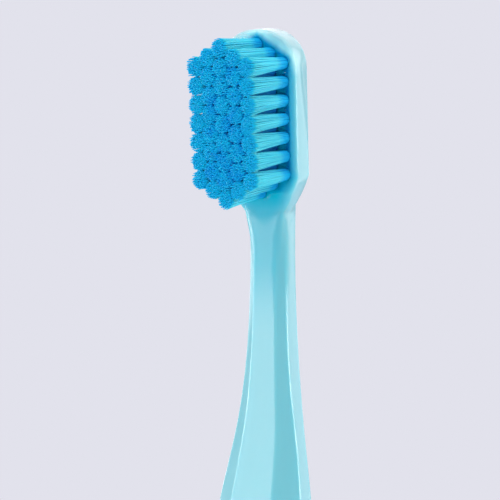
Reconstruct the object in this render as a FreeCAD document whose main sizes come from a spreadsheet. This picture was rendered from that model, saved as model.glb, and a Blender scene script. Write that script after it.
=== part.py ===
import FreeCAD, Part
import Sketcher
import math
import os

# A manual toothbrush, standing on its butt end. Z runs up the handle to the head,
# X is across the brush, and the bristles point towards -Y.
# The origin is the centre of the butt face. Lengths are in millimetres.

# Driving sizes: a name, a value and what it measures.
SIZES = [
    ("total_length", 178.3, "butt face to the top of the head"),
    ("shank_length", 168.0, "butt face to the last shank section, inside the head"),
    ("butt_width", 10.6, "width across the side flats at the butt"),
    ("butt_depth", 9.0, "depth across the front and back flats at the butt"),
    ("butt_rounding", 0.9, "edge rounding of the butt face"),
    ("grip_width", 13.6, "widest place of the handle"),
    ("grip_depth", 10.0, "deepest place of the handle"),
    ("neck_width", 5.3, "width across the side flats of the neck"),
    ("neck_depth", 4.35, "depth across the front and back flats of the neck"),
    ("neck_setback", 2.95, "how far the neck lies behind the axis of the handle"),
    ("edge_radius", 0.3, "rounding of the eight long edges"),
    ("head_width", 10.7, "width of the head across its straight sides"),
    ("head_thickness", 3.8, "front face to back face of the head"),
    ("head_tilt", 2.7, "forward lean of the head, in degrees"),
    ("head_reach", 1.16, "how far the top of the front face lies before the handle axis"),
    ("crown_radius", 9.2, "radius of the top of the head"),
    ("corner_radius", 4.7, "radius between the top and the straight sides"),
    ("shoulder_drop", 18.2, "top of the head to the corner where the shoulders start"),
    ("shoulder_radius", 16.0, "radius of the slightly bulging shoulders"),
    ("heel_drop", 22.8, "top of the head to the end of the shoulders"),
    ("heel_width", 5.5, "width of the shoulders where they end on the neck"),
    ("scoop_radius", 3.8, "radius of the hollow between the head and the neck"),
    ("scoop_ledge", 0.03, "step left where the hollow runs out on the neck"),
    ("back_bevel", 0.9, "bevel round the back of the head"),
    ("rim_rounding", 0.25, "rounding round the front face of the head"),
    ("tuft_pitch", 2.3, "spacing of the tufts along a column"),
    ("column_pitch", 1.79, "spacing of the five columns of tufts"),
    ("field_drop", 1.85, "top of the head to the first tuft of the middle column"),
    ("hole_diameter", 1.6, "bore of a tuft hole"),
    ("hole_depth", 3.0, "depth of a tuft hole"),
    ("tuft_clearance", 0.02, "play of a tuft in its hole, all round"),
    ("tip_gap", 0.08, "gap left between the tips of neighbouring tufts"),
    ("bristle_length", 9.55, "free length of the topmost tuft"),
    ("trim_loss", 0.75, "how much shorter the lowest tuft stands than the topmost"),
    ("anchor_length", 2.0, "length of an anchor plate, across its hole"),
    ("anchor_thickness", 0.3, "thickness of an anchor plate"),
    ("anchor_height", 1.3, "height of an anchor plate, along its hole"),
    ("anchor_drop", 1.45, "front face to the upper edge of an anchor plate"),
    ("anchor_clearance", 0.02, "play round an anchor plate"),
    ("overrun", 2.0, "how far a cut runs past the material"),
]

# The shank is drawn by sections, spaced evenly from the butt to the inside of the head.
# Up to the widest section a share leads from the butt's size to the grip's size.
# Past it, a share leads from the neck's size to the grip's size.
WIDEST_SECTION = 9
WIDTH_SHARES = (0, 0.16, 0.28, 0.38, 0.48, 0.58, 0.70, 0.83, 0.96, 1, 0.73, 0.235, 0.02, 0, 0.40)
DEPTH_SHARES = (0, 0.30, 0.55, 0.78, 0.92, 1, 0.98, 0.90, 0.76, 0.66, 0.50, 0.10, 0.01, 0, -0.17)
SETBACK_SHARES = (0, 0, 0, 0, 0, 0, 0, 0, 0.01, 0.07, 0.44, 0.90, 1, 1, 0.45)
# Shares of the width and the depth that the front and side flats take.
FRONT_SHARES = (0.44, 0.44, 0.44, 0.44, 0.44, 0.44, 0.45, 0.46, 0.47, 0.47, 0.50, 0.55, 0.58, 0.58, 0.58)
SIDE_SHARES = (0.41, 0.41, 0.41, 0.41, 0.41, 0.41, 0.40, 0.39, 0.37, 0.36, 0.37, 0.52, 0.54, 0.54, 0.54)

# Insets of the butt's end sections, from its face to its full width, in butt roundings.
BUTT_INSET_SHARES = (0.85, 0.32, 0.07, 0)

# Part of a flat's length that the rounding of its two ends takes, in edge radii.
EDGE_TRIM_SHARE = 0.83

# Tufts in each column, from the left column to the right one.
TUFTS_IN_COLUMN = (7, 8, 9, 8, 7)
MIDDLE_COLUMN = len(TUFTS_IN_COLUMN) // 2
LONGEST_COLUMN = max(TUFTS_IN_COLUMN)

# Sides that draw a round tuft and its hole.
ROUND_SIDES = 14

# In degrees, as the sheet takes its angles.
HALF_TURN = 180

# Points nearer to a plane than this count as lying on it.
TOUCH = 1e-4

doc = FreeCAD.newDocument("toothbrush")
sheet = doc.addObject("Spreadsheet::Sheet", "Sizes")
for row, (name, number, meaning) in enumerate(SIZES, start=1):
    sheet.set("A%d" % row, name)
    sheet.set("B%d" % row, str(number))
    sheet.set("C%d" % row, meaning)
    sheet.setAlias("B%d" % row, name)
doc.recompute()


def vector(x, y, z=0):
    return FreeCAD.Vector(x, y, z)


def size(expression):
    """The present value of an expression over the sheet."""
    result = sheet.evalExpression(expression)
    return float(getattr(result, "Value", result))


def origin_plane(body, role):
    """The origin plane of a body, found by its role."""
    for feature in body.Origin.OriginFeatures:
        if feature.Role == role:
            return feature
    raise ValueError("no origin plane " + role)


def new_sketch(body, name, support):
    """An empty sketch on a plane of its own body."""
    sketch = body.newObject("Sketcher::SketchObject", name)
    sketch.AttachmentSupport = [(support, "")]
    sketch.MapMode = "FlatFace"
    return sketch


def constrain(sketch, rules, sizes):
    """Add plain constraints, then those whose size follows an expression over the sheet."""
    constraints = [Sketcher.Constraint(*rule) for rule in rules]
    constraints += [Sketcher.Constraint(*rule, size(expression)) for expression, *rule in sizes]
    first_size = sketch.ConstraintCount + len(rules)
    sketch.addConstraint(constraints)
    for offset, (expression, *rule) in enumerate(sizes):
        sketch.setExpression("Constraints[%d]" % (first_size + offset), expression)


def lift(feature, expression):
    """Move a sketch along its plane's normal by an expression over the sheet."""
    feature.AttachmentOffset = FreeCAD.Placement(vector(0, 0, size(expression)), FreeCAD.Rotation())
    feature.setExpression("AttachmentOffset.Base.z", expression)


def add_lines(sketch, points):
    """A closed outline of straight lines. Returns the rules that join them end to end."""
    first, count = sketch.GeometryCount, len(points)
    sketch.addGeometry([Part.LineSegment(points[i], points[(i + 1) % count]) for i in range(count)])
    return [("Coincident", first + i, 2, first + (i + 1) % count, 1) for i in range(count)]


def head_plane(body):
    """The plane of the head's front face, with its origin at the top of the head."""
    plane = body.newObject("PartDesign::Plane", "HeadPlane")
    plane.AttachmentSupport = [(origin_plane(body, "XZ_Plane"), "")]
    plane.MapMode = "FlatFace"
    lean = FreeCAD.Rotation(vector(1, 0, 0), size("Sizes.head_tilt"))
    place = vector(0, size("Sizes.total_length"), size("Sizes.head_reach"))
    plane.AttachmentOffset = FreeCAD.Placement(place, lean)
    plane.setExpression("AttachmentOffset.Base.y", "Sizes.total_length")
    plane.setExpression("AttachmentOffset.Base.z", "Sizes.head_reach")
    plane.setExpression("AttachmentOffset.Rotation.Angle", "Sizes.head_tilt")
    doc.recompute()
    return plane


def blend(low, high, share):
    """Expression for a size between two sizes of the sheet."""
    return "(Sizes.%s + (Sizes.%s - Sizes.%s) * %s)" % (low, high, low, share)


def octagon(body, name, level, width, depth, front, side, setback):
    """A level section of the handle: an octagon with rounded corners, alike on both sides."""
    sketch = new_sketch(body, name, origin_plane(body, "XY_Plane"))
    lift(sketch, level)
    half_width, half_depth = size(width) / 2, size(depth) / 2
    half_front, half_side = size(front) / 2, size(side) / 2
    right = [(half_front, -half_depth), (half_width, -half_side)]
    right += [(x, -y) for x, y in reversed(right)]
    outline = [(-right[0][0], right[0][1])] + right + [(-x, y) for x, y in reversed(right[1:])]
    corners = [vector(x, y + size(setback)) for x, y in outline]
    radius = size("Sizes.edge_radius")
    count = len(corners)
    starts, ends, centres = [], [], []
    for i in range(count):
        before = (corners[i - 1] - corners[i]).normalize()
        after = (corners[(i + 1) % count] - corners[i]).normalize()
        half_angle = before.getAngle(after) / 2
        ends.append(corners[i] + before * (radius / math.tan(half_angle)))
        starts.append(corners[i] + after * (radius / math.tan(half_angle)))
        centres.append(corners[i] + (before + after).normalize() * (radius / math.sin(half_angle)))
    flats = [Part.LineSegment(starts[i], ends[(i + 1) % count]) for i in range(count)]
    rounds = []
    for start, end, centre in zip(starts, ends, centres):
        circle = Part.Circle(centre, vector(0, 0, 1), radius)
        angles = [math.atan2(point.y - centre.y, point.x - centre.x) for point in (end, start)]
        rounds.append(Part.ArcOfCircle(circle, *angles))
    sketch.addGeometry(flats + rounds)

    front_line, right_line, back_line, left_line = 0, 2, 4, 6
    rules = [("Tangent", (i - 1) % count, 2, count + i, 1) for i in range(count)]
    rules += [("Tangent", count + i, 2, i, 1) for i in range(count)]
    rules += [("Equal", count, count + i) for i in range(1, count)]
    rules += [("Symmetric", line, 1, line, 2, -2) for line in (front_line, back_line)]
    rules += [("Symmetric", right_line, 1, left_line, 2, -2)]
    rules += [("Vertical", line) for line in (right_line, left_line)]
    rules += [("Equal", front_line, back_line), ("Equal", right_line, left_line)]
    trim = "Sizes.edge_radius * %s" % EDGE_TRIM_SHARE
    constrain(sketch, rules, [
        ("Sizes.edge_radius", "Radius", count),
        ("%s - %s" % (front, trim), "DistanceX", front_line, 1, front_line, 2),
        ("%s - %s" % (side, trim), "DistanceY", right_line, 1, right_line, 2),
        (width, "DistanceX", left_line, 2, right_line, 1),
        (depth, "DistanceY", front_line, 2, back_line, 1),
        ("(%s - %s + %s) / 2" % (depth, side, trim), "DistanceY", front_line, 2, right_line, 1),
        ("%s - %s / 2" % (setback, depth), "DistanceY", -1, 1, front_line, 2),
    ])
    return sketch


def shank_section(body, index):
    """One of the evenly spaced sections that draw the shank."""
    end = "butt" if index <= WIDEST_SECTION else "neck"
    width = blend(end + "_width", "grip_width", WIDTH_SHARES[index])
    depth = blend(end + "_depth", "grip_depth", DEPTH_SHARES[index])
    front = "(%s * %s)" % (width, FRONT_SHARES[index])
    side = "(%s * %s)" % (depth, SIDE_SHARES[index])
    setback = "Sizes.neck_setback * %s" % SETBACK_SHARES[index]
    rise = "(Sizes.shank_length - Sizes.butt_rounding) * %s / %s" % (index, len(WIDTH_SHARES) - 1)
    return octagon(body, "Section%02d" % index, "Sizes.butt_rounding + " + rise,
                   width, depth, front, side, setback)


def butt_section(body, index):
    """One of the sections of the butt's rounded end, from the flat face upwards."""
    level = index / (len(BUTT_INSET_SHARES) - 1)
    inset = "(2 * Sizes.butt_rounding * %s)" % BUTT_INSET_SHARES[index]
    width, depth = "(Sizes.butt_width - %s)" % inset, "(Sizes.butt_depth - %s)" % inset
    front = "(%s * %s)" % (width, FRONT_SHARES[0])
    side = "(%s * %s)" % (depth, SIDE_SHARES[0])
    return octagon(body, "ButtSection%d" % index, "Sizes.butt_rounding * %s" % level,
                   width, depth, front, side, "0")


def head_outline(body, plane):
    """Outline of the head: a crown of three arcs, straight sides and shoulders down to the neck."""
    sketch = new_sketch(body, "HeadOutline", plane)
    half, heel = size("Sizes.head_width / 2"), size("Sizes.heel_width / 2")
    crown, corner = size("Sizes.crown_radius"), size("Sizes.corner_radius")
    shoulder_drop, heel_drop = size("Sizes.shoulder_drop"), size("Sizes.heel_drop")
    inset = half - corner
    rise = math.sqrt((crown - corner) ** 2 - inset ** 2)
    side_top = rise - crown
    angle = math.atan2(rise, inset)
    up = vector(0, 0, 1)
    sketch.addGeometry([
        Part.ArcOfCircle(Part.Circle(vector(0, -crown), up, crown), angle, math.pi - angle),
        Part.ArcOfCircle(Part.Circle(vector(inset, side_top), up, corner), 0, angle),
        Part.ArcOfCircle(Part.Circle(vector(-inset, side_top), up, corner), math.pi - angle, math.pi),
    ])
    sketch.addGeometry([
        Part.LineSegment(vector(half, side_top), vector(half, -shoulder_drop)),
        Part.LineSegment(vector(heel, -heel_drop), vector(-heel, -heel_drop)),
        Part.LineSegment(vector(-half, -shoulder_drop), vector(-half, side_top)),
    ])
    bulge = size("Sizes.shoulder_radius")
    top, bottom = vector(half, -shoulder_drop), vector(heel, -heel_drop)
    chord = bottom - top
    inwards = vector(chord.y, -chord.x).normalize()
    centre = (top + bottom) / 2 + inwards * math.sqrt(bulge ** 2 - chord.Length ** 2 / 4)
    low, high = [math.atan2(point.y - centre.y, point.x - centre.x) for point in (bottom, top)]
    sketch.addGeometry([
        Part.ArcOfCircle(Part.Circle(centre, up, bulge), low, high),
        Part.ArcOfCircle(Part.Circle(vector(-centre.x, centre.y), up, bulge), math.pi - high, math.pi - low),
    ])
    crown_arc, right_arc, left_arc, right_side, heel_line, left_side, right_shoulder, left_shoulder = range(8)
    rules = [
        ("Tangent", right_arc, 2, crown_arc, 1),
        ("Tangent", crown_arc, 2, left_arc, 1),
        ("Tangent", right_arc, 1, right_side, 1),
        ("Tangent", left_arc, 2, left_side, 2),
        ("Vertical", right_side),
        ("Vertical", left_side),
        ("Symmetric", right_side, 2, left_side, 1, -2),
        ("Symmetric", heel_line, 1, heel_line, 2, -2),
        ("PointOnObject", crown_arc, 3, -2),
        ("Equal", right_arc, left_arc),
        ("Equal", right_shoulder, left_shoulder),
        ("Coincident", right_side, 2, right_shoulder, 2),
        ("Coincident", right_shoulder, 1, heel_line, 1),
        ("Coincident", heel_line, 2, left_shoulder, 2),
        ("Coincident", left_shoulder, 1, left_side, 1),
    ]
    constrain(sketch, rules, [
        ("Sizes.crown_radius", "Radius", crown_arc),
        ("Sizes.corner_radius", "Radius", right_arc),
        ("Sizes.shoulder_radius", "Radius", right_shoulder),
        ("Sizes.crown_radius", "DistanceY", crown_arc, 3, -1, 1),
        ("Sizes.head_width", "DistanceX", left_side, 1, right_side, 2),
        ("Sizes.heel_width", "DistanceX", heel_line, 2, heel_line, 1),
        ("Sizes.shoulder_drop", "DistanceY", right_side, 2, -1, 1),
        ("Sizes.heel_drop", "DistanceY", heel_line, 1, -1, 1),
    ])
    return sketch


def scoop_profile(body):
    """Side profile of the hollow that leads from the head's front face back to the neck."""
    sketch = new_sketch(body, "ScoopProfile", origin_plane(body, "YZ_Plane"))
    front = "(Sizes.neck_setback - Sizes.neck_depth / 2 - Sizes.scoop_ledge)"
    level = "(Sizes.total_length - Sizes.heel_drop)"
    radius = size("Sizes.scoop_radius")
    bottom = size(level) - size("Sizes.overrun")
    centre = vector(size(front) - radius, size(level))
    inner = size(front)
    points = [(centre.x, centre.y + radius), (centre.x, bottom), (inner, bottom), (inner, centre.y)]
    sketch.addGeometry([Part.ArcOfCircle(Part.Circle(centre, vector(0, 0, 1), radius), 0, math.pi / 2)])
    sketch.addGeometry([Part.LineSegment(vector(*a), vector(*b)) for a, b in zip(points, points[1:])])
    curve, outer_line, bottom_line, inner_line = range(4)
    rules = [
        ("Coincident", curve, 2, outer_line, 1),
        ("Coincident", outer_line, 2, bottom_line, 1),
        ("Coincident", bottom_line, 2, inner_line, 1),
        ("Tangent", inner_line, 2, curve, 1),
        ("Vertical", outer_line),
        ("Horizontal", bottom_line),
        ("Vertical", inner_line),
        ("Vertical", curve, 3, curve, 2),
    ]
    constrain(sketch, rules, [
        ("Sizes.scoop_radius", "Radius", curve),
        (front, "DistanceX", -1, 1, inner_line, 2),
        (level, "DistanceY", -1, 1, inner_line, 2),
        ("Sizes.overrun", "DistanceY", bottom_line, 2, inner_line, 2),
    ])
    return sketch


def tuft_columns():
    """The columns of tufts: tufts in it, place across the head and drop of the first tuft."""
    for column, count in enumerate(TUFTS_IN_COLUMN):
        across = "(Sizes.column_pitch * %d)" % (column - MIDDLE_COLUMN)
        drop = "(Sizes.field_drop + Sizes.tuft_pitch * %s)" % ((LONGEST_COLUMN - count) / 2)
        yield count, across, drop


def put_on_face(shape, plane, across, up, out):
    """Stand a primitive on the head's face, by how far its origin lies across, up and out."""
    shape.AttachmentSupport = [(plane, "")]
    shape.MapMode = "FlatFace"
    shape.setExpression("AttachmentOffset.Base.x", across)
    shape.setExpression("AttachmentOffset.Base.y", up)
    shape.setExpression("AttachmentOffset.Base.z", out)
    doc.recompute()


def repeat_down_column(body, features, axes, count):
    """Repeat features down the head's face at the pitch of the tufts."""
    pattern = body.newObject("PartDesign::LinearPattern", features[0].Name + "Column")
    pattern.Originals = features
    pattern.Direction = (axes, ["V_Axis"])
    pattern.Reversed = True
    pattern.Mode = "Spacing"
    pattern.setExpression("Offset", "Sizes.tuft_pitch")
    pattern.Occurrences = count
    pattern.Refine = False
    body.Tip = pattern
    doc.recompute()


def tuft_bore(body, plane, across, drop):
    """Blind hole for one tuft."""
    bore = body.newObject("PartDesign::SubtractivePrism", "TuftBore")
    bore.Polygon = ROUND_SIDES
    bore.Refine = False
    bore.setExpression("Circumradius", "Sizes.hole_diameter / 2")
    bore.setExpression("Height", "Sizes.hole_depth + Sizes.overrun")
    put_on_face(bore, plane, across, "-" + drop, "-Sizes.hole_depth")
    return bore


def plate_box(body, plane, across, drop, kind, name, play):
    """One anchor plate, or with some play the slot that it sits in."""
    box = body.newObject("PartDesign::" + kind, name)
    box.Refine = False
    length = "(Sizes.anchor_length + 2 * %s)" % play
    thickness = "(Sizes.anchor_thickness + 2 * %s)" % play
    box.setExpression("Length", length)
    box.setExpression("Width", thickness)
    box.setExpression("Height", "Sizes.anchor_height + 2 * %s" % play)
    put_on_face(box, plane, "%s - %s / 2" % (across, length), "-%s - %s / 2" % (drop, thickness),
                "-Sizes.anchor_drop - Sizes.anchor_height - %s" % play)
    return box


def edges_where(feature, test):
    """Names of the edges of a feature that pass a test."""
    return ["Edge%d" % (i + 1) for i, edge in enumerate(feature.Shape.Edges) if test(edge)]


def make_handle():
    """The moulded handle: head, shank, butt, tuft holes and anchor slots."""
    body = doc.addObject("PartDesign::Body", "handle")
    body.Label = "handle"
    plane = head_plane(body)
    normal = plane.Placement.Rotation.multVec(vector(0, 0, 1))

    def depth_below_face(point):
        return (plane.Placement.Base - point).dot(normal)

    head = body.newObject("PartDesign::Pad", "HeadPad")
    head.Profile = head_outline(body, plane)
    head.Reversed = True
    head.setExpression("Length", "Sizes.head_thickness")
    doc.recompute()

    thickness = size("Sizes.head_thickness")

    def on_back(edge):
        return all(abs(depth_below_face(v.Point) - thickness) < TOUCH for v in edge.Vertexes)

    bevel = body.newObject("PartDesign::Chamfer", "BackBevel")
    bevel.Base = (head, edges_where(head, on_back))
    bevel.setExpression("Size", "Sizes.back_bevel")
    doc.recompute()

    def on_rim(edge):
        return all(abs(depth_below_face(v.Point)) < TOUCH for v in edge.Vertexes)

    rim = body.newObject("PartDesign::Fillet", "RimRounding")
    rim.Base = (bevel, edges_where(bevel, on_rim))
    rim.setExpression("Radius", "Sizes.rim_rounding")
    doc.recompute()
    scoop = body.newObject("PartDesign::Pocket", "HeelScoop")
    scoop.Profile = scoop_profile(body)
    scoop.Midplane = True
    scoop.Type = "ThroughAll"
    doc.recompute()

    for name, draw_section, count in (("Shank", shank_section, len(WIDTH_SHARES)),
                                      ("ButtEnd", butt_section, len(BUTT_INSET_SHARES))):
        sections = [draw_section(body, index) for index in range(count)]
        loft = body.newObject("PartDesign::AdditiveLoft", name)
        loft.Profile = sections[0]
        loft.Sections = sections[1:]
        doc.recompute()

    axes = new_sketch(body, "FaceAxes", plane)
    for count, across, drop in tuft_columns():
        bore = tuft_bore(body, plane, across, drop)
        slot = plate_box(body, plane, across, drop, "SubtractiveBox", "AnchorSlot", "Sizes.anchor_clearance")
        repeat_down_column(body, [bore, slot], axes, count)
    return body


def make_anchors():
    """The flat metal plates that hold the tufts, one across each hole."""
    body = doc.addObject("PartDesign::Body", "anchor_plates")
    body.Label = "anchor_plates"
    body.AllowCompound = True
    plane = head_plane(body)
    axes = new_sketch(body, "FaceAxes", plane)
    for count, across, drop in tuft_columns():
        plate = plate_box(body, plane, across, drop, "AdditiveBox", "AnchorPlate", "0")
        repeat_down_column(body, [plate], axes, count)
    return body


def bundle_section(body, radius):
    """Round section of a tuft where it leaves the face, drawn with as many sides as its hole has."""
    sketch = new_sketch(body, "BundleSection", origin_plane(body, "XY_Plane"))
    reach, count = size(radius), ROUND_SIDES
    turns = [2 * math.pi * i / count for i in range(count)]
    rules = add_lines(sketch, [vector(reach * math.cos(turn), reach * math.sin(turn)) for turn in turns])
    sketch.addGeometry(Part.Circle(vector(0, 0), vector(0, 0, 1), reach), True)
    rules += [("Equal", 0, i) for i in range(1, count)]
    rules += [("PointOnObject", i, 1, count) for i in range(count)]
    rules += [("Coincident", count, 3, -1, 1), ("PointOnObject", 0, 1, -1)]
    constrain(sketch, rules, [(radius, "Radius", count)])
    return sketch


def window_profile(body):
    """Window that the anchor plate takes in the folded root of a tuft, seen along the plate."""
    sketch = new_sketch(body, "WindowProfile", origin_plane(body, "YZ_Plane"))
    width = "(Sizes.anchor_thickness + 2 * Sizes.anchor_clearance)"
    height = "(Sizes.anchor_height + 2 * Sizes.anchor_clearance)"
    drop = "(Sizes.anchor_drop - Sizes.anchor_clearance)"
    half, top = size(width) / 2, -size(drop)
    bottom = top - size(height)
    corners = [vector(-half, bottom), vector(half, bottom), vector(half, top), vector(-half, top)]
    rules = add_lines(sketch, corners)
    bottom_line, right_line, top_line, left_line = range(4)
    rules += [
        ("Horizontal", top_line),
        ("Vertical", left_line),
        ("Vertical", right_line),
        ("Symmetric", bottom_line, 1, bottom_line, 2, -2),
    ]
    constrain(sketch, rules, [
        (width, "DistanceX", bottom_line, 1, bottom_line, 2),
        (height, "DistanceY", right_line, 1, right_line, 2),
        (drop, "DistanceY", right_line, 2, -1, 1),
    ])
    return sketch


def make_tuft(name, across, drop, length):
    """One tuft: its root fills the hole, and it widens evenly from the face to its tip."""
    body = doc.addObject("PartDesign::Body", name)
    body.Label = name
    root_radius = "(Sizes.hole_diameter / 2 - Sizes.tuft_clearance)"
    spacing = "min(Sizes.tuft_pitch; sqrt(Sizes.column_pitch ^ 2 + Sizes.tuft_pitch ^ 2 / 4))"
    tip_radius = "((%s - Sizes.tip_gap) / 2)" % spacing
    spread = "((%s - %s) * cos(%s / %s))" % (tip_radius, root_radius, HALF_TURN, ROUND_SIDES)
    bristles = body.newObject("PartDesign::Pad", "Bristles")
    bristles.Profile = bundle_section(body, root_radius)
    bristles.SideType = "Two sides"
    bristles.setExpression("Length", length)
    bristles.setExpression("TaperAngle", "atan(%s / %s)" % (spread, length))
    bristles.setExpression("Length2", "Sizes.hole_depth - Sizes.tuft_clearance")
    doc.recompute()
    window = body.newObject("PartDesign::Pocket", "AnchorWindow")
    window.Profile = window_profile(body)
    window.Midplane = True
    window.Type = "ThroughAll"
    lean = "%s / 2 + Sizes.head_tilt" % HALF_TURN
    body.Placement = FreeCAD.Placement(vector(0, 0, 0), FreeCAD.Rotation(vector(1, 0, 0), size(lean)))
    body.setExpression("Placement.Rotation.Angle", lean)
    body.setExpression("Placement.Base.x", across)
    body.setExpression("Placement.Base.y", "%s * sin(Sizes.head_tilt) - Sizes.head_reach" % drop)
    body.setExpression("Placement.Base.z", "Sizes.total_length - %s * cos(Sizes.head_tilt)" % drop)
    return body


def make_tufts():
    """All the tufts. They get evenly shorter from the top of the head to the heel."""
    tufts = []
    for column, (count, across, first_drop) in enumerate(tuft_columns(), start=1):
        for row in range(count):
            drop = "(%s + Sizes.tuft_pitch * %d)" % (first_drop, row)
            steps = row + (LONGEST_COLUMN - count) / 2
            length = "(Sizes.bristle_length - Sizes.trim_loss * %s / %s)" % (steps, LONGEST_COLUMN - 1)
            tufts.append(make_tuft("tuft_c%d_r%d" % (column, row + 1), across, drop, length))
    return tufts


pieces = [make_handle(), make_anchors()] + make_tufts()
doc.recompute()

for item in doc.Objects:
    if "Invalid" in item.State or "Error" in item.State:
        raise RuntimeError("%s did not recompute" % item.Name)
for piece in pieces:
    if piece.Shape.isNull() or not piece.Shape.isValid():
        raise RuntimeError("%s has no valid shape" % piece.Label)

os.makedirs("parts", exist_ok=True)
for piece in pieces:
    piece.Shape.exportStep(os.path.join("parts", piece.Label + ".step"))
print("%d pieces, %d solids" % (len(pieces), sum(len(piece.Shape.Solids) for piece in pieces)))
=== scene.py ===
import math
import random

import bmesh
import bpy
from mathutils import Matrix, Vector


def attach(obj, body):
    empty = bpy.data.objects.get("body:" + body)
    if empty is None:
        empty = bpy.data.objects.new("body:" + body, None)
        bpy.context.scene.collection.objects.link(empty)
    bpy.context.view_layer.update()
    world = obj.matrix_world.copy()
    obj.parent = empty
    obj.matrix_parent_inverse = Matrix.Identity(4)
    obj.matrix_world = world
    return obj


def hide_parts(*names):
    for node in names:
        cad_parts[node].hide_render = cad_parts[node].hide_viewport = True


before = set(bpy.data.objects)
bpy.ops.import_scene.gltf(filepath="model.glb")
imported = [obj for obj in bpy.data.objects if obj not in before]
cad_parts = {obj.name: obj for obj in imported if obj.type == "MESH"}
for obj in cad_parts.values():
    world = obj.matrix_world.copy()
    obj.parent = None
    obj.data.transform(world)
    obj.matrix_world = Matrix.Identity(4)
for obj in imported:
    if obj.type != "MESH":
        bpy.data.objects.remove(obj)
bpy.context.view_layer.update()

MM = 0.001

# The head's front face leans forward, so the bristles point along BRISTLE_WAY.
HEAD_TILT = math.radians(2.7)
BRISTLE_WAY = Vector((0, -math.cos(HEAD_TILT), -math.sin(HEAD_TILT)))
ACROSS = Vector((1, 0, 0))
UP_FACE = ACROSS.cross(BRISTLE_WAY) * -1

# The top edge of the head's front face.
HEAD_TOP, FACE_AT_TOP = 178.3 * MM, -1.16 * MM


def below_top(drop):
    """The height of a level that lies some millimetres below the top of the head's face."""
    return HEAD_TOP - drop * MM


def linear(red, green, blue):
    """A colour given in screen values from 0 to 255, as the shader takes it."""
    def one(value):
        value /= 255
        return value / 12.92 if value <= 0.04045 else ((value + 0.055) / 1.055) ** 2.4
    return (one(red), one(green), one(blue), 1)


class Value:
    """A number that a shader works out point by point. Arithmetic with it adds the nodes."""

    def __init__(self, graph, socket):
        self.graph = graph
        self.socket = socket

    def step(self, operation, first, second=0.0):
        node = self.graph.add("ShaderNodeMath", {0: first, 1: second}, operation=operation)
        return Value(self.graph, node.outputs[0])

    def __add__(self, other):
        return self.step("ADD", self, other)

    def __sub__(self, other):
        return self.step("SUBTRACT", self, other)

    def __rsub__(self, other):
        return self.step("SUBTRACT", other, self)

    def __mul__(self, other):
        return self.step("MULTIPLY", self, other)

    def __pow__(self, other):
        return self.step("POWER", self, other)

    def __abs__(self):
        return self.step("ABSOLUTE", self)

    def at_least(self, other):
        return self.step("MAXIMUM", self, other)

    def above(self, other):
        return self.step("GREATER_THAN", self, other)

    def square_root(self):
        return self.step("SQRT", self)

    def to_range(self, low, high, new_low=0.0, new_high=1.0, how="LINEAR"):
        """Map from one range to another, and stay at the new range's ends outside the old one."""
        inputs = {"Value": self, "From Min": low, "From Max": high, "To Min": new_low, "To Max": new_high}
        node = self.graph.add("ShaderNodeMapRange", inputs, interpolation_type=how)
        return Value(self.graph, node.outputs["Result"])


class Graph:
    """The nodes of a material or of the world, with short ways to add the common ones."""

    def __init__(self, owner):
        owner.use_nodes = True
        self.nodes, self.links = owner.node_tree.nodes, owner.node_tree.links
        self.nodes.clear()

    def feed(self, socket, value):
        """Give an input a plain value, or link it to a value or another node's output."""
        if isinstance(value, Value):
            value = value.socket
        if isinstance(value, bpy.types.NodeSocket):
            self.links.new(value, socket)
        else:
            socket.default_value = value

    def add(self, kind, inputs=None, **settings):
        """Add a node with its settings and inputs, and return it."""
        node = self.nodes.new(kind)
        for key, value in settings.items():
            setattr(node, key, value)
        for key, value in (inputs or {}).items():
            self.feed(node.inputs[key], value)
        return node

    def place(self):
        return self.add("ShaderNodeTexCoord").outputs["Object"]

    def split(self, vector):
        """The three coordinates of a vector."""
        return [Value(self, part) for part in self.add("ShaderNodeSeparateXYZ", {0: vector}).outputs]

    def attribute(self, name):
        return Value(self, self.add("ShaderNodeAttribute", attribute_name=name).outputs["Fac"])

    def noise(self, scale, detail, roughness, stretch=(1, 1, 1)):
        """A noise from 0 to 1 over the object, with its coordinates scaled along the axes."""
        mapping = self.add("ShaderNodeMapping", {"Vector": self.place(), "Scale": stretch})
        inputs = {"Vector": mapping.outputs["Vector"], "Scale": scale}
        inputs.update({"Detail": detail, "Roughness": roughness})
        return Value(self, self.add("ShaderNodeTexNoise", inputs).outputs["Fac"])

    def ramp(self, factor, stops):
        """Colours along a factor from 0 to 1."""
        node = self.add("ShaderNodeValToRGB", {"Fac": factor})
        band = node.color_ramp
        while len(band.elements) > 1:
            band.elements.remove(band.elements[-1])
        band.elements[0].position, band.elements[0].color = stops[0]
        for position, colour in stops[1:]:
            band.elements.new(position).color = colour
        return node.outputs["Color"]

    def mix(self, factor, first, second, how="MIX"):
        """Mix two colours. In this node, inputs 6 and 7 and output 2 are the colours."""
        node = self.add("ShaderNodeMix", data_type="RGBA", blend_type=how)
        for index, value in ((0, factor), (6, first), (7, second)):
            self.feed(node.inputs[index], value)
        return node.outputs[2]

    def bump(self, height, strength, distance, normal=None):
        """A normal that follows small heights, on top of another normal if one is given."""
        node = self.add("ShaderNodeBump", {"Height": height, "Strength": strength, "Distance": distance})
        if normal:
            self.feed(node.inputs["Normal"], normal)
        return node.outputs["Normal"]

    def surface(self, inputs):
        return self.add("ShaderNodeBsdfPrincipled", inputs).outputs["BSDF"]

    def blend(self, factor, first, second):
        """A mix of two shaders."""
        return self.add("ShaderNodeMixShader", {0: factor, 1: first, 2: second}).outputs[0]

    def show(self, shader, output="ShaderNodeOutputMaterial"):
        """Make a shader the one that the material or the world shows."""
        self.add(output, {"Surface": shader})


def new_material(name):
    """A new material and its empty graph."""
    material = bpy.data.materials.new(name)
    return material, Graph(material)


# Zones of the plastic fade in or out over one of these heights.
SHORT_FADE, LONG_FADE = 1 * MM, 2 * MM

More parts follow.
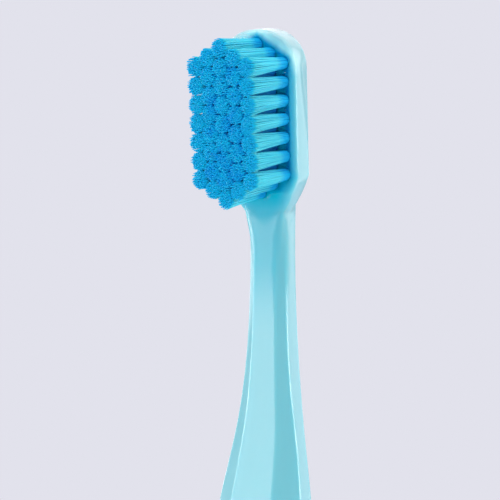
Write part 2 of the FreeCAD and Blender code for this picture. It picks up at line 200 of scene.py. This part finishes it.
# The outline of the field of tufts on the head's face, which narrows towards both ends.
FIELD_TOP, FIELD_BOTTOM, FIELD_HALF_WIDTH = below_top(0.9), below_top(20.5), 4.2 * MM
FIELD_SLOPE = 0.64
# The painted shade of the tufts, their shadow and blue bounce on the plastic, fades out within this distance
# and this depth.
PAINTED_SHADE_REACH, PAINTED_SHADE_DEPTH = 1.2 * MM, (0.2 * MM, 3.0 * MM)
# The thin rim above the upper tufts stays clear of the painted shade and gets painted light instead, for
# light through the thin plastic.
RIM_LEVELS = (below_top(5.8), below_top(3.8))
RIM_START, RIM_END = (0.3 * MM, 0.9 * MM), (0.9 * MM, 1.7 * MM)
GAP_REACH = 0.25 * MM


def field_distance(x, z):
    """How far a point lies outside the field of tufts, seen square to the face."""
    middle, half = (FIELD_TOP + FIELD_BOTTOM) / 2, (FIELD_TOP - FIELD_BOTTOM) / 2
    sideways = (abs(x) - FIELD_HALF_WIDTH).at_least(0.0)
    endways = (abs(z - middle) + abs(x) * FIELD_SLOPE - half).at_least(0.0)
    return (sideways * sideways + endways * endways).square_root()


def round_tufts(x, y, z):
    """Three factors for the milky plastic round the tufts: how much painted shade and blue bounce from them
    it gets, how much painted light the thin rim beyond them gets, and where the gaps between their roots are."""
    distance = field_distance(x, z)
    depth = y - ((HEAD_TOP - z) * math.tan(HEAD_TILT) + FACE_AT_TOP)
    shallow = depth.to_range(*PAINTED_SHADE_DEPTH, 1, 0)
    rim = distance.to_range(*RIM_START) * z.to_range(*RIM_LEVELS, 0, 0.85)
    blue = distance.to_range(0, PAINTED_SHADE_REACH, 1, 0) ** 1.5 * shallow * (1 - rim)
    glow = rim * shallow * distance.to_range(*RIM_END, 1, 0)
    return blue, glow, distance.to_range(0, GAP_REACH, 1, 0)


# Below the tufts painted shade, the tufts' shadow and blue bounce, runs down the front of the heel,
# narrowing, and faintly down the neck.
NECK_PLAIN, NECK_CLEAR = below_top(38.3), below_top(29.3)
NECK_FULLY_SHADED, HEEL_TOP = below_top(20.8), below_top(17.3)
HEEL_FADE, HEEL_SLOPE = (4.0 * MM, 7.6 * MM), 0.6
NECK_FADE, NECK_SHARE = (0.8 * MM, 3.4 * MM), 0.4
# It only shows where the normal faces forward. Facing up or down counts by this share.
FORWARD, FORWARD_TILT = (-0.9, -0.4), 0.8


def below_tufts(graph, x, z):
    """How much painted shade the front of the heel and the neck get."""
    narrowing = abs(x) + (HEEL_TOP - z) * HEEL_SLOPE
    heel = z.to_range(NECK_CLEAR, NECK_FULLY_SHADED) ** 1.4 * narrowing.to_range(*HEEL_FADE, 1, 0, "SMOOTHSTEP")
    neck = z.to_range(NECK_PLAIN, NECK_CLEAR, 0, NECK_SHARE) * abs(x).to_range(*NECK_FADE, 1, 0, "SMOOTHSTEP")
    under_face = z.to_range(HEEL_TOP - SHORT_FADE, HEEL_TOP, 1, 0)
    _, normal_y, normal_z = graph.split(graph.add("ShaderNodeNewGeometry").outputs["True Normal"])
    facing = (normal_y + normal_z * FORWARD_TILT).to_range(*FORWARD, 1, 0)
    return heel.at_least(neck) * under_face * facing


# The crown and the undersides of the shoulders are painted paler: painted light through the thin plastic of
# the crown, and painted light from below under the shoulders.
CROWN_PLAIN, CROWN_PALE = below_top(4.8), HEAD_TOP
SHOULDER_END, UNDERSIDE = below_top(24.3), (-0.45, -0.15)
# The moulding's edges are softer on the neck than elsewhere.
EDGE_SOFTNESS, NECK_SOFTNESS = 0.4 * MM, 1.1 * MM
GRIP_END, NECK_START, HEAD_START = below_top(36.3), below_top(31.3), below_top(17.3)
# The neck's side edges face this way from the front. They are dull where the normal fits that way.
EDGE_TURN, EDGE_FIT = math.radians(67), (0.945, 0.98)


def handle_material():
    """Pale turquoise moulded plastic: glossy, a little milky, with faint flow marks, and with painted light
    and shade in its colour round and below the tufts, on the crown and under the shoulders.
    """
    material, graph = new_material("handle_plastic")
    x, y, z = graph.split(graph.place())
    in_neck = z.to_range(GRIP_END, NECK_START) * z.to_range(HEAD_START - LONG_FADE, HEAD_START, 1, 0)
    softness = in_neck.to_range(0, 1, EDGE_SOFTNESS, NECK_SOFTNESS)
    soft_normal = graph.add("ShaderNodeBevel", {"Radius": softness}, samples=12).outputs["Normal"]
    normal_x, normal_y, normal_z = graph.split(soft_normal)
    blue, glow, gaps = round_tufts(x, y, z)
    below = below_tufts(graph, x, z)

    cloud = graph.noise(60, 2, 0.5, (1, 1, 0.35))
    flow = graph.noise(420, 3, 0.55, (1, 1, 0.06))
    crown = z.to_range(CROWN_PLAIN, CROWN_PALE, 0, 0.7)
    in_head = z.to_range(SHOULDER_END - SHORT_FADE, SHOULDER_END)
    painted_underside_light = normal_z.to_range(*UNDERSIDE, 0.45, 0) * in_head
    colour = graph.ramp(cloud, [(0.30, linear(121, 202, 211)), (0.70, linear(131, 208, 216))])
    colour = graph.mix(flow.to_range(0.35, 0.7, 0, 0.16), colour, linear(146, 214, 222))
    # Painted light on the crown.
    colour = graph.mix(crown, colour, linear(206, 222, 222))
    # Painted light under the shoulders, which face down.
    colour = graph.mix(painted_underside_light, colour, linear(172, 238, 248))
    # Painted shade below the tufts, on the front of the heel and the neck; the shine is lower there too.
    colour = graph.mix(below, colour, linear(0, 200, 222))
    # Painted light on the thin rim above the upper tufts.
    colour = graph.mix(glow, colour, linear(200, 255, 255))
    # Painted shade round the tufts: blue, and deepest between their roots.
    colour = graph.mix(blue, colour, graph.mix(gaps, linear(0, 220, 255), linear(0, 196, 255)))

    side_edge = abs(normal_x) * math.sin(EDGE_TURN) + normal_y * -math.cos(EDGE_TURN)
    dull = side_edge.to_range(*EDGE_FIT, 0, 0.92) * in_neck
    shine = below.to_range(0.15, 0.6, 0.5, 0.06) * (1 - dull)
    shine = shine * z.to_range(CROWN_PALE - LONG_FADE, CROWN_PALE, 1, 0.3)
    graph.show(graph.surface({
        "Base Color": colour,
        "Roughness": flow.to_range(0.3, 0.7, 0.12, 0.19),
        "Specular IOR Level": shine,
        "Normal": graph.bump(flow, 0.06, 0.05 * MM, soft_normal),
        "IOR": 1.49,
        "Subsurface Weight": 1.0,
        "Subsurface Radius": (0.6, 1.0, 1.1),
        "Subsurface Scale": 1.4 * MM,
    }))
    return material


# The share of a strand's length where its cut end starts.
CUT_END = 0.94


def bristle_material():
    """Fine nylon, light cyan along the strands, with painted shade: deeper blue towards the roots and azure
    at the cut ends, for light that has passed through many strands. The attribute along runs from root to
    tip, strand differs by strand, and inside marks the tufts in the middle, which get painted shade at their
    cut ends."""
    material, graph = new_material("bristle_nylon")
    along, strand, inside = [graph.attribute(name) for name in ("along", "strand", "inside")]
    fleck = graph.noise(2600, 2, 0.6)
    patches = graph.noise(520, 2, 0.5)
    # Painted shade: deeper blue towards the roots near the face, and azure at the cut ends.
    colour = graph.ramp(along, [
        (0.00, linear(0, 200, 255)),
        (0.14, linear(16, 206, 255)),
        (0.30, linear(82, 238, 255)),
        (0.91, linear(88, 241, 255)),
        (0.95, linear(20, 234, 255)),
        (1.00, linear(0, 210, 255)),
    ])
    shade = graph.ramp(strand, [
        (0.0, (0.54, 0.84, 1.0, 1)),
        (0.35, (0.98, 1.0, 1.0, 1)),
        (1.0, (1.0, 1.0, 1.0, 1)),
    ])
    colour = graph.mix(1.0, colour, shade, "MULTIPLY")
    # Painted shade in the valleys between the tufts in the middle, just below their cut ends.
    colour = graph.mix(inside * along.to_range(0.93, 0.98, 0.8, 0), colour, linear(0, 158, 248))
    colour = graph.mix(fleck.to_range(0.35, 0.75, 0, 0.10), colour, linear(110, 220, 250))
    # Painted shade in patches on the cut ends, mostly on the tufts in the middle.
    painted_patch_shade = patches.to_range(0.46, 0.62, 0, 0.6) * along.above(CUT_END) * inside.to_range(0, 1, 0.2, 1)
    colour = graph.mix(painted_patch_shade, colour, linear(0, 178, 250))
    graph.show(graph.surface({
        "Base Color": colour,
        "Roughness": fleck.to_range(0.3, 0.7, 0.30, 0.46),
        "IOR": 1.53,
        "Specular IOR Level": 0.1,
    }))
    return material


def anchor_material():
    """Drawn brass strip, a little dull."""
    material, graph = new_material("anchor_brass")
    lines = graph.noise(3000, 3, 0.6, (0.05, 1, 1))
    graph.show(graph.surface({
        "Base Color": graph.ramp(lines, [(0.3, linear(176, 142, 78)), (0.7, linear(214, 182, 112))]),
        "Roughness": lines.to_range(0.3, 0.7, 0.28, 0.48),
        "Normal": graph.bump(lines, 0.2, 0.01 * MM),
        "Metallic": 1.0,
    }))
    return material


def give(obj, material):
    """Put one material in every slot of an object."""
    if not obj.data.materials:
        obj.data.materials.append(material)
    for index in range(len(obj.data.materials)):
        obj.data.materials[index] = material


def link_object(name, data):
    """Put a new object in the scene: a mesh, a lamp or a camera."""
    item = bpy.data.objects.new(name, data)
    bpy.context.scene.collection.objects.link(item)
    return item


# Each tuft is a bundle of fine strands, in the space of its CAD solid. The strands start a little
# inside the hole, whose mouth lies ROOT_TO_MOUTH from the solid's lower end.
SEED = 20
STRANDS = 260
STRAND_RADIUS, STRAND_SIDES, STRAND_STEPS = 0.05 * MM, 4, 5
ROOT_TO_MOUTH, ROOT_SINK = 2.98 * MM, 0.9 * MM
# Strands are thicker by this share at the tip, and fan out more along the face than across it.
TIP_SWELL, TIP_STRETCH = 0.12, 0.17
# The cut is this much lower at a tuft's rim, and this uneven.
RIM_DROP, UNEVEN_SHARE, UNEVEN_CUT = 0.19 * MM, 0.008, 0.09 * MM
# How far strands shift, lean and bow by chance, as shares of the tuft's radius. A few lean further.
SHIFT_SHARE, LEAN_SHARE, BOW_SHARE = 0.03, 0.06, 0.03
STRAY_CHANCE, STRAY_LEAN = 0.06, 2.2
# Tufts differ a little in width, and their strands are turned by up to this angle.
TUFT_WIDTHS, STRAND_TURN = (0.94, 1.04), 6
TUFTS_IN_COLUMN = (7, 8, 9, 8, 7)


def bundle_of(node):
    """Centre of the mouth of the hole, free length, radius there and radius at the tip of a CAD tuft."""
    points = [v.co.copy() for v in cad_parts[node].data.vertices]
    depths = [p.dot(BRISTLE_WAY) for p in points]
    near, far, touch = min(depths), max(depths), 0.01 * MM
    root = [p for p, d in zip(points, depths) if d < near + touch]
    tip = [p for p, d in zip(points, depths) if d > far - touch]
    root_centre, tip_centre = sum(root, Vector()) / len(root), sum(tip, Vector()) / len(tip)
    root_radius = max((p - root_centre).length for p in root)
    tip_radius = max((p - tip_centre).length for p in tip)
    mouth = root_centre + BRISTLE_WAY * ROOT_TO_MOUTH
    return mouth, (tip_centre - mouth).length, root_radius, tip_radius


def spiral(count, twist):
    """Evenly spread points in a unit disc, turned by an angle."""
    golden = math.pi * (3 - math.sqrt(5))
    for i in range(count):
        reach, turn = math.sqrt((i + 0.5) / count), i * golden + twist
        yield reach * math.cos(turn), reach * math.sin(turn)


def pick_strand(x, y, length, dice):
    """Chance draws for a strand at a place in the unit disc: the place where it really stands, its
    lean, its bow, its length and its shade."""
    x += dice.gauss(0, SHIFT_SHARE)
    y += dice.gauss(0, SHIFT_SHARE)
    reach = math.hypot(x, y)
    if reach > 1:
        x, y = x / reach, y / reach
    stray = STRAY_LEAN if dice.random() < STRAY_CHANCE else 1.0
    lean = Vector((dice.gauss(0, LEAN_SHARE), dice.gauss(0, LEAN_SHARE))) * stray
    bow = Vector((dice.gauss(0, BOW_SHARE), dice.gauss(0, BOW_SHARE)))
    cut = length * (1 + dice.gauss(0, UNEVEN_SHARE)) - RIM_DROP * min(reach, 1) ** 4
    cut += dice.uniform(-UNEVEN_CUT, UNEVEN_CUT)
    return Vector((x, y)), lean, bow, cut, dice.random()


def make_bundle(name, node, dice):
    """One tuft of separate strands, which fan out evenly and are cut a little unevenly."""
    mouth, length, root_radius, tip_radius = bundle_of(node)
    root_reach = root_radius - STRAND_RADIUS
    tip_reach = (tip_radius - STRAND_RADIUS / 2) * dice.uniform(*TUFT_WIDTHS)
    vertices, faces, along, strands = [], [], [], []
    for x, y in spiral(STRANDS, dice.uniform(0, 2 * math.pi)):
        spot, lean, bow, cut, shade = pick_strand(x, y, length, dice)
        first = len(vertices)
        for step in range(STRAND_STEPS + 1):
            share = step / STRAND_STEPS
            out = -ROOT_SINK + (cut + ROOT_SINK) * share
            spread = max(out / length, 0)
            sway = spread * spread
            hump = math.sin(math.pi * spread) if spread < 1 else 0
            shift = spot * (root_reach + (tip_reach - root_reach) * spread)
            shift.y *= 1 + TIP_STRETCH * sway
            shift += (lean * sway + bow * hump) * tip_reach
            centre = mouth + BRISTLE_WAY * out + ACROSS * shift.x + UP_FACE * shift.y
            thick = STRAND_RADIUS * (1 + TIP_SWELL * share)
            for side in range(STRAND_SIDES):
                turn = 2 * math.pi * side / STRAND_SIDES + shade * STRAND_TURN
                vertices.append(centre + (ACROSS * math.cos(turn) + UP_FACE * math.sin(turn)) * thick)
                along.append(min(max(out / cut, 0), 1))
                strands.append(shade)
        for low in range(first, first + STRAND_STEPS * STRAND_SIDES, STRAND_SIDES):
            for side in range(STRAND_SIDES):
                after = (side + 1) % STRAND_SIDES
                faces.append((low + side, low + after, low + STRAND_SIDES + after, low + STRAND_SIDES + side))
        faces.append(tuple(range(len(vertices) - STRAND_SIDES, len(vertices))))
    mesh = bpy.data.meshes.new(name)
    mesh.from_pydata(vertices, [], faces)
    column, row = [int(word[1:]) for word in node.split("_")[1:]]
    inside = 1 < column < len(TUFTS_IN_COLUMN) and 1 < row < TUFTS_IN_COLUMN[column - 1]
    for label, values in (("along", along), ("strand", strands), ("inside", [float(inside)] * len(along))):
        mesh.attributes.new(label, "FLOAT", "POINT").data.foreach_set("value", values)
    mesh.shade_smooth()
    mesh.update()
    return link_object(name, mesh)


dice = random.Random(SEED)
nylon = bristle_material()
for node in sorted(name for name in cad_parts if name.startswith("tuft_")):
    piece = make_bundle(node.replace("tuft", "bristles"), node, dice)
    piece.data.materials.append(nylon)
    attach(piece, "root")
    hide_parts(node)


# The neck's front corners fill out between these two levels, up to the square heel of the head.
FLARE_BOTTOM, HEEL_LEVEL = below_top(30), below_top(22.74)
FLARE_SPARE = 0.1 * MM
# The faces that are cut reach at most this far below the flare.
FLARE_FACES = 12 * MM
HEEL_HALF_WIDTH, HEEL_REACH, NECK_AXIS = 2.75 * MM, 2.206 * MM, 2.95 * MM
FLARE_CUTS = 18
# Upright cuts through the neck's axis stand closer round its corners. In degrees from the side.
CORNER_AZIMUTHS = (38, 42, 46, 49, 51.3, 54, 57, 61, 65)
# Edges that bend more than this stay sharp.
SHARP_FROM = math.radians(28)


def flare_planes():
    """A point and a normal for each cut of the flare."""
    for step in range(FLARE_CUTS):
        yield (0, 0, FLARE_BOTTOM + (HEEL_LEVEL - FLARE_BOTTOM) * step / FLARE_CUTS), (0, 0, 1)
    for azimuth in CORNER_AZIMUTHS:
        for turn in (math.radians(azimuth), -math.radians(azimuth)):
            yield (0, NECK_AXIS, 0), (math.cos(turn), math.sin(turn), 0)


def cut_neck_front(shape, point, normal):
    """Cut the front faces of the neck, where it flares, along a plane."""
    def belongs(face):
        heights = [v.co.z for v in face.verts]
        return (FLARE_BOTTOM - FLARE_FACES < min(heights) and max(heights) < HEEL_LEVEL + FLARE_SPARE
                and max(heights) > FLARE_BOTTOM and min(v.co.y for v in face.verts) < NECK_AXIS)

    faces = [face for face in shape.faces if belongs(face)]
    edges = dict.fromkeys(edge for face in faces for edge in face.edges)
    verts = dict.fromkeys(vert for face in faces for vert in face.verts)
    bmesh.ops.bisect_plane(shape, geom=[*verts, *edges, *faces], plane_co=point, plane_no=normal)


def widen_neck_front(shape):
    """Scale the neck's front outwards from its axis, up to the outline of the heel."""
    for vertex in shape.verts:
        x, y, z = vertex.co
        forward = NECK_AXIS - y
        if forward <= 0 or not FLARE_BOTTOM < z < HEEL_LEVEL + FLARE_SPARE:
            continue
        grow = HEEL_REACH / forward
        if x:
            grow = min(grow, HEEL_HALF_WIDTH / abs(x))
        share = min((z - FLARE_BOTTOM) / (HEEL_LEVEL - FLARE_BOTTOM), 1) ** 2
        scale = 1 + (grow - 1) * share
        vertex.co.x = x * scale
        vertex.co.y = NECK_AXIS - forward * scale


def merge_slivers(shape):
    """Merge the points of the flare that ended up together."""
    top = HEEL_LEVEL + FLARE_SPARE
    near = [v for v in shape.verts if FLARE_BOTTOM - FLARE_FACES < v.co.z < top]
    bmesh.ops.remove_doubles(shape, verts=near, dist=0.01 * MM)
    below = [e for e in shape.edges if all(v.co.z < top for v in e.verts)]
    bmesh.ops.dissolve_degenerate(shape, dist=0.001 * MM, edges=below)


def flared_handle():
    """The moulded handle, whose neck widens smoothly into the heel of the head."""
    shape = bmesh.new()
    shape.from_mesh(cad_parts["handle"].data)
    bmesh.ops.remove_doubles(shape, verts=shape.verts, dist=0.001 * MM)
    for point, normal in flare_planes():
        cut_neck_front(shape, point, normal)
    widen_neck_front(shape)
    merge_slivers(shape)
    mesh = bpy.data.meshes.new("handle_moulding")
    shape.to_mesh(mesh)
    shape.free()
    mesh.materials.clear()
    mesh.shade_smooth()
    mesh.set_sharp_from_angle(angle=SHARP_FROM)
    for edge in mesh.edges:
        ends = [mesh.vertices[index].co for index in edge.vertices]
        heights = [end.z for end in ends]
        if (FLARE_BOTTOM - FLARE_SPARE < min(heights) and max(heights) < HEEL_LEVEL - FLARE_SPARE
                and all(end.y < NECK_AXIS for end in ends)):
            edge.use_edge_sharp = False
    piece = link_object("handle_moulding", mesh)
    flat_sides = piece.modifiers.new("flat_sides", "WEIGHTED_NORMAL")
    flat_sides.keep_sharp = True
    flat_sides.weight = 100
    return piece


handle = flared_handle()
handle.data.materials.append(handle_material())
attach(handle, "root")
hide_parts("handle")
give(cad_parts["anchor_plates"], anchor_material())


# Backdrop, floor and light.
BACKDROP = linear(226, 226, 236)
SOFT_LIGHT, SOFT_STRENGTH = (0.93, 0.95, 1.0, 1), 1.02


def make_world():
    """A pale even backdrop for the camera and the gloss, and plain soft light for the rest."""
    world = bpy.data.worlds.new("studio")
    bpy.context.scene.world = world
    graph = Graph(world)
    seen = graph.add("ShaderNodeBackground", {"Color": BACKDROP, "Strength": 1.0}).outputs[0]
    soft = graph.add("ShaderNodeBackground", {"Color": SOFT_LIGHT, "Strength": SOFT_STRENGTH}).outputs[0]
    rays = graph.add("ShaderNodeLightPath").outputs
    direct = Value(graph, rays["Is Camera Ray"]).at_least(rays["Is Glossy Ray"])
    direct = direct.at_least(rays["Is Transmission Ray"])
    graph.show(graph.blend(direct, soft, seen), "ShaderNodeOutputWorld")


FLOOR_REACH, FLOOR_FADE = 0.42, (0.12, 0.40)
FLOOR_RINGS, FLOOR_SPOKES = 6, 96


def make_floor():
    """A round pale floor that fades into the backdrop at its rim."""
    vertices, faces = [(0, 0, 0)], []
    for ring in range(1, FLOOR_RINGS + 1):
        radius = FLOOR_REACH * ring / FLOOR_RINGS
        for spoke in range(FLOOR_SPOKES):
            turn = 2 * math.pi * spoke / FLOOR_SPOKES
            vertices.append((radius * math.cos(turn), radius * math.sin(turn), 0))
    for spoke in range(FLOOR_SPOKES):
        after = (spoke + 1) % FLOOR_SPOKES
        faces.append((0, 1 + spoke, 1 + after))
        for ring in range(FLOOR_RINGS - 1):
            low, high = 1 + ring * FLOOR_SPOKES, 1 + (ring + 1) * FLOOR_SPOKES
            faces.append((low + spoke, high + spoke, high + after, low + after))
    mesh = bpy.data.meshes.new("floor")
    mesh.from_pydata(vertices, [], faces)
    floor = link_object("floor", mesh)
    material, graph = new_material("floor_pale")
    distance = graph.add("ShaderNodeVectorMath", {0: graph.place()}, operation="LENGTH").outputs["Value"]
    fade = Value(graph, distance).to_range(*FLOOR_FADE)
    inputs = {"Base Color": linear(222, 222, 231), "Roughness": 0.9, "Specular IOR Level": 0.1}
    clear = graph.add("ShaderNodeBsdfTransparent").outputs[0]
    graph.show(graph.blend(fade, graph.surface(inputs), clear))
    mesh.materials.append(material)


def around(azimuth, elevation, distance, height):
    """A place at an azimuth and elevation round a point on the brush's axis, and the way to it."""
    turn, rise = math.radians(azimuth), math.radians(elevation)
    back = Vector((math.sin(turn) * math.cos(rise), -math.cos(turn) * math.cos(rise), math.sin(rise)))
    return Vector((0, 0, height)) + back * distance, back


def stand(name, data, place, back):
    """Put a lamp or a camera at a place, with its back turned that way."""
    item = link_object(name, data)
    item.location = place
    item.rotation_mode = "QUATERNION"
    item.rotation_quaternion = back.to_track_quat("Z", "Y")
    return item


LAMP_DISTANCE, LAMP_AIM = 0.80, 0.12


def make_lamp(name, azimuth, elevation, wide, high, glow, gloss_only=True):
    """A soft box that looks at the upper half of the brush. Its glow is its brightness beside the
    backdrop's, which is near 1. A gloss panel is only seen in the plastic's shine."""
    light = bpy.data.lights.new(name, "AREA")
    light.shape = "RECTANGLE"
    light.size, light.size_y = wide, high
    light.energy = glow * math.pi * wide * high
    lamp = stand(name, light, *around(azimuth, elevation, LAMP_DISTANCE, LAMP_AIM))
    lamp.visible_camera = False
    lamp.visible_diffuse = not gloss_only


make_world()
make_floor()
make_lamp("key_top", -20, 60, 0.60, 0.60, 0.8, gloss_only=False)
make_lamp("gloss_front", -32, -3, 0.34, 0.80, 4.6)
make_lamp("gloss_side", 150, 0, 0.40, 1.00, 2.0)
make_lamp("gloss_edge_right", 104, 0, 0.56, 1.00, 11.0)
make_lamp("gloss_edge_left", -75, 0, 0.46, 1.00, 7.0)
make_lamp("gloss_rim", -122, 0, 0.40, 1.00, 1.2)
make_lamp("gloss_crown", -168, 20, 0.60, 0.80, 0.7)

# Camera: its direction, its distance and the point that it looks at.
AZIMUTH, ELEVATION, DISTANCE = 30, 5.28, 0.300
AIM_ACROSS, AIM_HEIGHT = -1.41 * MM, 150.82 * MM
PICTURE_PIXELS, PIXELS_PER_METRE, SENSOR_WIDTH = 500, 8000, 36


def make_camera():
    """The camera of the photograph, upright and a little above the middle of the picture."""
    camera = bpy.data.cameras.new("camera")
    camera.sensor_width = SENSOR_WIDTH
    camera.sensor_fit = "AUTO"
    camera.lens = SENSOR_WIDTH * PIXELS_PER_METRE * DISTANCE / PICTURE_PIXELS
    camera.clip_start, camera.clip_end = 0.01, 10
    turn = math.radians(AZIMUTH)
    aside = Vector((math.cos(turn), math.sin(turn), 0)) * AIM_ACROSS
    place, back = around(AZIMUTH, ELEVATION, DISTANCE, AIM_HEIGHT)
    bpy.context.scene.camera = stand("camera", camera, place + aside, back)


make_camera()
bpy.context.scene.view_settings.view_transform = "Standard"
